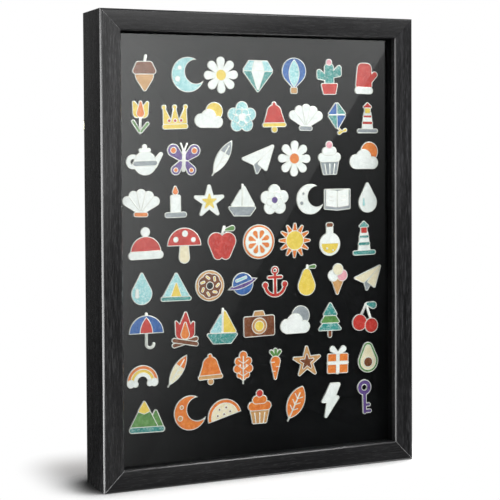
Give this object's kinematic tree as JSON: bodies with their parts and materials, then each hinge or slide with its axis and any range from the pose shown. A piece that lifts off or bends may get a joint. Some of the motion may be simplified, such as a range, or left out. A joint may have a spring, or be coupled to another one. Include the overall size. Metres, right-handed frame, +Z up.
{
  "type": "enamel pin display case",
  "caption": "Deep black box frame with a mitred moulding, glass front and cloth-faced foam board of enamel pins, held from behind by turn buttons.",
  "frame": {"origin": "middle of the footprint, on the surface that the case stands on", "axes": "+X to the right seen from the front, +Y from the glazed front to the back, +Z up"},
  "size_m": [0.31, 0.0548, 0.42],
  "materials": {
    "black_foil_wood": "satin",
    "bright_steel": "satin",
    "zinc_plated_steel": "satin",
    "clear_glass": "gloss",
    "black_spacer": "matte",
    "black_felt": "matte",
    "foam": "matte",
    "hardboard": "matte",
    "black_rubber": "matte",
    "struck_pin_metal": "polished",
    "enamel_white": "gloss",
    "enamel_ivory": "gloss",
    "enamel_pink": "gloss",
    "enamel_red": "gloss",
    "enamel_orange": "gloss",
    "enamel_tan": "gloss",
    "enamel_brown": "gloss",
    "enamel_yellow": "gloss",
    "enamel_green": "gloss",
    "enamel_teal": "gloss",
    "enamel_aqua": "gloss",
    "enamel_blue": "gloss",
    "enamel_purple": "gloss",
    "enamel_grey": "gloss",
    "enamel_black": "gloss"
  },
  "bodies": {
    "case": {"top_rail": "black_foil_wood", "bottom_rail": "black_foil_wood", "left_stile": "black_foil_wood", "right_stile": "black_foil_wood", "corner_v_nails": "bright_steel", "glazing": "clear_glass", "spacer_top": "black_spacer", "spacer_bottom": "black_spacer", "spacer_left": "black_spacer", "spacer_right": "black_spacer", "pin_cloth": "black_felt", "foam_board": "foam", "back_panel": "hardboard", "button_rivets": "bright_steel", "hanger_strap_left": "zinc_plated_steel", "hanger_strap_right": "zinc_plated_steel", "hanger_screws": "zinc_plated_steel", "wall_bumpers": "black_rubber", "pins_row_1": "struck_pin_metal", "pins_row_2": "struck_pin_metal", "pins_row_3": "struck_pin_metal", "pins_row_4": "struck_pin_metal", "pins_row_5": "struck_pin_metal", "pins_row_6": "struck_pin_metal", "pins_row_7": "struck_pin_metal", "pins_row_8": "struck_pin_metal", "pins_row_9": "struck_pin_metal", "enamel_white": "enamel_white", "enamel_ivory": "enamel_ivory", "enamel_pink": "enamel_pink", "enamel_red": "enamel_red", "enamel_orange": "enamel_orange", "enamel_tan": "enamel_tan", "enamel_brown": "enamel_brown", "enamel_yellow": "enamel_yellow", "enamel_green": "enamel_green", "enamel_teal": "enamel_teal", "enamel_aqua": "enamel_aqua", "enamel_blue": "enamel_blue", "enamel_purple": "enamel_purple", "enamel_grey": "enamel_grey", "enamel_black": "enamel_black"},
    "turn_button_top_left": {"turn_button_top_left": "zinc_plated_steel"},
    "turn_button_top_right": {"turn_button_top_right": "zinc_plated_steel"},
    "turn_button_bottom_left": {"turn_button_bottom_left": "zinc_plated_steel"},
    "turn_button_bottom_right": {"turn_button_bottom_right": "zinc_plated_steel"},
    "turn_button_left_upper": {"turn_button_left_upper": "zinc_plated_steel"},
    "turn_button_left_lower": {"turn_button_left_lower": "zinc_plated_steel"},
    "turn_button_right_upper": {"turn_button_right_upper": "zinc_plated_steel"},
    "turn_button_right_lower": {"turn_button_right_lower": "zinc_plated_steel"},
    "hanger_ring_left": {"hanger_ring_left": "zinc_plated_steel"},
    "hanger_ring_right": {"hanger_ring_right": "zinc_plated_steel"}
  },
  "joints": [
    {"name": "top_left_button_turn", "type": "hinge", "parent": "case", "child": "turn_button_top_left", "pos_m": [-0.07306, 0.0048, 0.3892], "axis": [0, 1, 0], "continuous": true},
    {"name": "top_right_button_turn", "type": "hinge", "parent": "case", "child": "turn_button_top_right", "pos_m": [0.07306, 0.0048, 0.3892], "axis": [0, 1, 0], "continuous": true},
    {"name": "bottom_left_button_turn", "type": "hinge", "parent": "case", "child": "turn_button_bottom_left", "pos_m": [-0.07306, 0.0048, 0.0308], "axis": [0, 1, 0], "continuous": true},
    {"name": "bottom_right_button_turn", "type": "hinge", "parent": "case", "child": "turn_button_bottom_right", "pos_m": [0.07306, 0.0048, 0.0308], "axis": [0, 1, 0], "continuous": true},
    {"name": "left_upper_button_turn", "type": "hinge", "parent": "case", "child": "turn_button_left_upper", "pos_m": [-0.1242, 0.0048, 0.30775], "axis": [0, 1, 0], "continuous": true},
    {"name": "left_lower_button_turn", "type": "hinge", "parent": "case", "child": "turn_button_left_lower", "pos_m": [-0.1242, 0.0048, 0.11225], "axis": [0, 1, 0], "continuous": true},
    {"name": "right_upper_button_turn", "type": "hinge", "parent": "case", "child": "turn_button_right_upper", "pos_m": [0.1242, 0.0048, 0.30775], "axis": [0, 1, 0], "continuous": true},
    {"name": "right_lower_button_turn", "type": "hinge", "parent": "case", "child": "turn_button_right_lower", "pos_m": [0.1242, 0.0048, 0.11225], "axis": [0, 1, 0], "continuous": true},
    {"name": "left_ring_swing", "type": "hinge", "parent": "case", "child": "hanger_ring_left", "pos_m": [-0.148, 0.02505, 0.324], "axis": [1, 0, 0], "range_deg": [0, 180]},
    {"name": "right_ring_swing", "type": "hinge", "parent": "case", "child": "hanger_ring_right", "pos_m": [0.148, 0.02505, 0.324], "axis": [1, 0, 0], "range_deg": [0, 180]}
  ]
}
